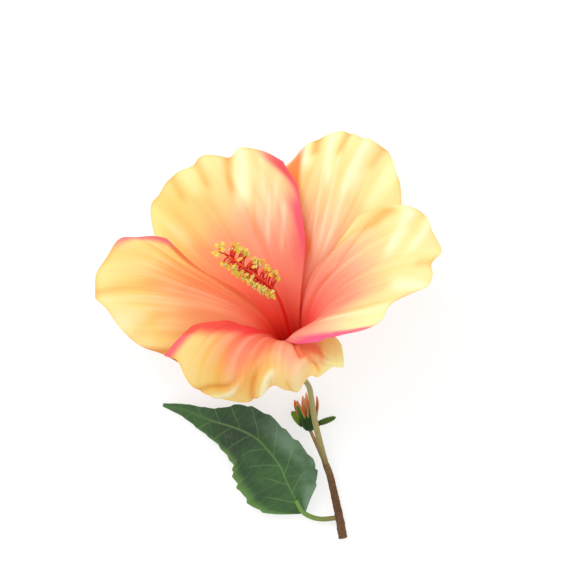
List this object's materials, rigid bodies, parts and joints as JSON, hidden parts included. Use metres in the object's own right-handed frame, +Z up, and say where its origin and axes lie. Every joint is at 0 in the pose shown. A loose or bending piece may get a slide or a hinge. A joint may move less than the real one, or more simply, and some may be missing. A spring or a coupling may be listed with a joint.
{
  "type": "hibiscus flower",
  "caption": "Picked hibiscus flower lying on its back: five overlapping ruffled petals, a stamen column, calyx, stem with an opening bud, and one toothed leaf.",
  "frame": {"origin": "on the surface that the flower lies on, under the middle of its bounding box", "axes": "+Z up from the surface, +Y from the stem's cut end towards the bloom, +X to the bloom's right seen from above"},
  "size_m": [0.1302, 0.1571, 0.0791],
  "materials": {
    "petal": "soft, yellow rim to red throat",
    "stamen": "powdery yellow anthers on red filaments",
    "stigma": "soft",
    "calyx": "satin green",
    "collar": "satin red",
    "stem": "satin grey green",
    "bark": "matte bark",
    "bud_green": "satin green",
    "bud_petal": "soft orange",
    "leaf": "satin dark green"
  },
  "bodies": {
    "root": {"petal_top_left": "petal", "petal_top_right": "petal", "petal_right": "petal", "petal_bottom": "petal", "petal_left": "petal", "staminal_column": "stamen", "style": "stigma", "calyx": "calyx", "calyx_collar": "collar", "stem": "stem", "twig": "bark", "bud_calyx": "bud_green", "bud_petals": "bud_petal", "leaf": "leaf"}
  },
  "joints": []
}
